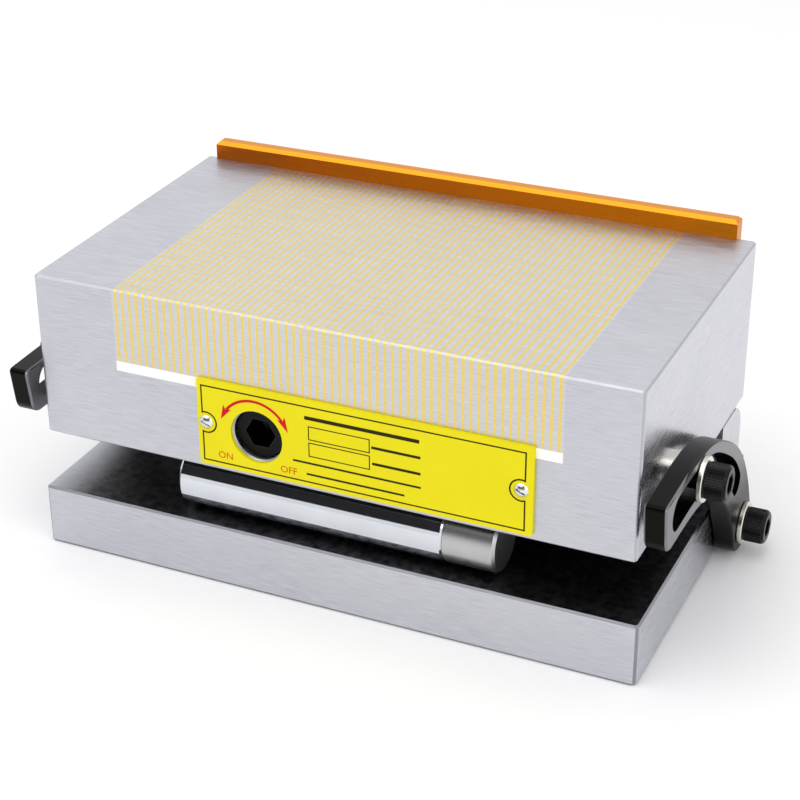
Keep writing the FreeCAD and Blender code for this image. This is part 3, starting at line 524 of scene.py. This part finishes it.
def capScrew(form, side, headX, tipX, y, z):
    # rings of points from the shank's tip round the knurled head and down into its socket
    count, head = screwLook["count"], screwLook["head"]
    flats, deep = screwLook["flats"], screwLook["socket"]
    shank, tip, top = screwLook["shank"], screwLook["tip"], headX + head
    rings = [(tipX, "plain", shank - tip), (tipX + tip, "plain", shank), (headX, "plain", shank),
             (headX, "plain", screwLook["seat"]), (headX + screwLook["lead"], "knurl", 0),
             (top - screwLook["knurlDrop"], "knurl", 0)]
    rings += [(top - drop, "plain", wide) for drop, wide in screwLook["crown"]]
    rings += [(top, "hex", screwLook["rim"]), (top - screwLook["rimDrop"], "hex", 0.0),
              (top - deep, "hex", 0.0)]
    loops = []
    for x, kind, value in rings:
        loop = []
        for n in range(count):
            angle = 2 * math.pi * n / count
            radius = value
            if kind == "knurl":
                radius = screwLook["knurlHigh"] if n % 2 else screwLook["knurlLow"]
            if kind == "hex":
                radius = hexRadius(angle, flats) + value
            loop.append(form.verts.new((side * mm(x), y + mm(radius * math.cos(angle)),
                                        z + mm(radius * math.sin(angle)))))
        loops.append(loop)
    tip = form.verts.new((side * mm(tipX), y, z))
    floorPoint = form.verts.new((side * mm(headX + head - deep - 0.9), y, z))
    for first, second in zip(loops, loops[1:]):
        for n in range(count):
            m = (n + 1) % count
            form.faces.new((first[n], first[m], second[m], second[n]))
    for n in range(count):
        m = (n + 1) % count
        form.faces.new((tip, loops[0][m], loops[0][n]))
        form.faces.new((floorPoint, loops[-1][n], loops[-1][m]))


def screwPiece(name, body, places, *nodeNames):
    form = bmesh.new()
    for side, headX, tipX, y, z in places:
        capScrew(form, side, headX, tipX, y, z)
    bmesh.ops.recalc_face_normals(form, faces=form.faces)
    mesh = bpy.data.meshes.new(name)
    form.to_mesh(mesh)
    form.free()
    mesh.materials.append(blackOxide)
    piece = bpy.data.objects.new(name, mesh)
    bpy.context.scene.collection.objects.link(piece)
    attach(piece, body)
    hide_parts(*nodeNames)


def screwPlace(node, side):
    low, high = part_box(node)
    far = max(abs(low[0]), abs(high[0])) * 1000
    near = min(abs(low[0]), abs(high[0])) * 1000 if low[0] * high[0] > 0 else 77.5
    return side, far - screwLook["head"], near, (low[1] + high[1]) / 2, (low[2] + high[2]) / 2


screwPiece("clamp_screw_knurled_left", "screw_left", [screwPlace("clamp_screw_left", -1)],
           "clamp_screw_left")
screwPiece("clamp_screw_knurled_right", "screw_right", [screwPlace("clamp_screw_right", 1)],
           "clamp_screw_right")
screwPiece("pivot_screws_knurled", "base",
           [screwPlace("pivot_screws", -1), screwPlace("pivot_screws", 1)], "pivot_screws")
print("finishes done")


# ---- stage, lights and camera ----
stageLook = {"size": 6.0, "floor": "#F4F4F5", "drop": 0.0001}
floorMesh = bpy.data.meshes.new("floor")
floorForm = bmesh.new()
bmesh.ops.create_grid(floorForm, x_segments=1, y_segments=1, size=stageLook["size"] / 2)
bmesh.ops.translate(floorForm, verts=floorForm.verts, vec=(0, 0, -stageLook["drop"]))
floorForm.to_mesh(floorMesh)
floorForm.free()
floor = bpy.data.objects.new("floor", floorMesh)
bpy.context.scene.collection.objects.link(floor)


# a dark wall behind the camera, which only polished metal mirrors
wallMesh = bpy.data.meshes.new("darkWall")
wallForm = bmesh.new()
bmesh.ops.create_grid(wallForm, x_segments=1, y_segments=1, size=1.0)
wallPlace = Matrix.Translation((0.2, -1.4, 1.3)) @ Matrix.Rotation(-math.pi / 2, 4, "X")
bmesh.ops.transform(wallForm, verts=wallForm.verts,
                    matrix=wallPlace @ Matrix.Diagonal((2.2, 1.0, 1.0, 1.0)))
wallForm.to_mesh(wallMesh)
wallForm.free()
wall = bpy.data.objects.new("darkWall", wallMesh)
wall.visible_camera = wall.visible_diffuse = wall.visible_shadow = False
bpy.context.scene.collection.objects.link(wall)


def seenByCamera(tree):
    path = addNode(tree, "ShaderNodeLightPath")
    first = addNode(tree, "ShaderNodeMath", {"operation": "MAXIMUM"},
                    {0: path.outputs["Is Camera Ray"], 1: path.outputs["Is Glossy Ray"]})
    return addNode(tree, "ShaderNodeMath", {"operation": "MAXIMUM"},
                   {0: first.outputs[0], 1: path.outputs["Is Transmission Ray"]}).outputs[0]


floorMaterial, floorTree, floorShader = startMaterial("paperFloor", {"Roughness": 0.9})
floorShader.inputs["Base Color"].default_value = hexColour(stageLook["floor"])
floorMesh.materials.append(floorMaterial)
wallMaterial, wallTree, wallShader = startMaterial("blackCloth", {"Roughness": 1.0})
wallShader.inputs["Base Color"].default_value = hexColour("#18161A")
wallMesh.materials.append(wallMaterial)

world = bpy.data.worlds.new("studio")
bpy.context.scene.world = world
world.use_nodes = True
worldTree = world.node_tree
worldTree.nodes.clear()
plainLight = addNode(worldTree, "ShaderNodeBackground", {"Color": (1, 1, 1, 1), "Strength": 0.75})
seenWhite = addNode(worldTree, "ShaderNodeBackground", {"Color": (1, 1, 1, 1), "Strength": 1.0})
pick = addNode(worldTree, "ShaderNodeMixShader", {},
               {0: seenByCamera(worldTree), 1: plainLight.outputs[0], 2: seenWhite.outputs[0]})
addNode(worldTree, "ShaderNodeOutputWorld", {}, {"Surface": pick.outputs[0]})

lampLook = {"over": {"size": 1.6, "power": 14.0, "place": (-0.3, -0.4, 1.5)},
            "side": {"size": 1.0, "power": 5.0, "place": (1.3, -0.6, 0.7)}}
for lampName, look in lampLook.items():
    lampData = bpy.data.lights.new(lampName, "AREA")
    lampData.size = look["size"]
    lampData.energy = look["power"]
    lamp = bpy.data.objects.new(lampName, lampData)
    lamp.location = look["place"]
    lamp.rotation_euler = (Vector((0, 0, 0.04)) - Vector(look["place"])).to_track_quat("-Z", "Y").to_euler()
    bpy.context.scene.collection.objects.link(lamp)

cameraLook = {"place": (0.20733, -0.45858, 0.30497), "turn": (1.08498, 0.018417, 0.447595),
              "lens": 89.06, "shift": (0.0741, 0.0082)}
cameraData = bpy.data.cameras.new("camera")
cameraData.lens = cameraLook["lens"]
cameraData.sensor_width = 36
cameraData.shift_x, cameraData.shift_y = cameraLook["shift"]
camera = bpy.data.objects.new("camera", cameraData)
camera.location = cameraLook["place"]
camera.rotation_euler = Euler(cameraLook["turn"])
bpy.context.scene.collection.objects.link(camera)
bpy.context.scene.camera = camera
bpy.context.scene.view_settings.view_transform = "Standard"
print("stage, lights and camera done")
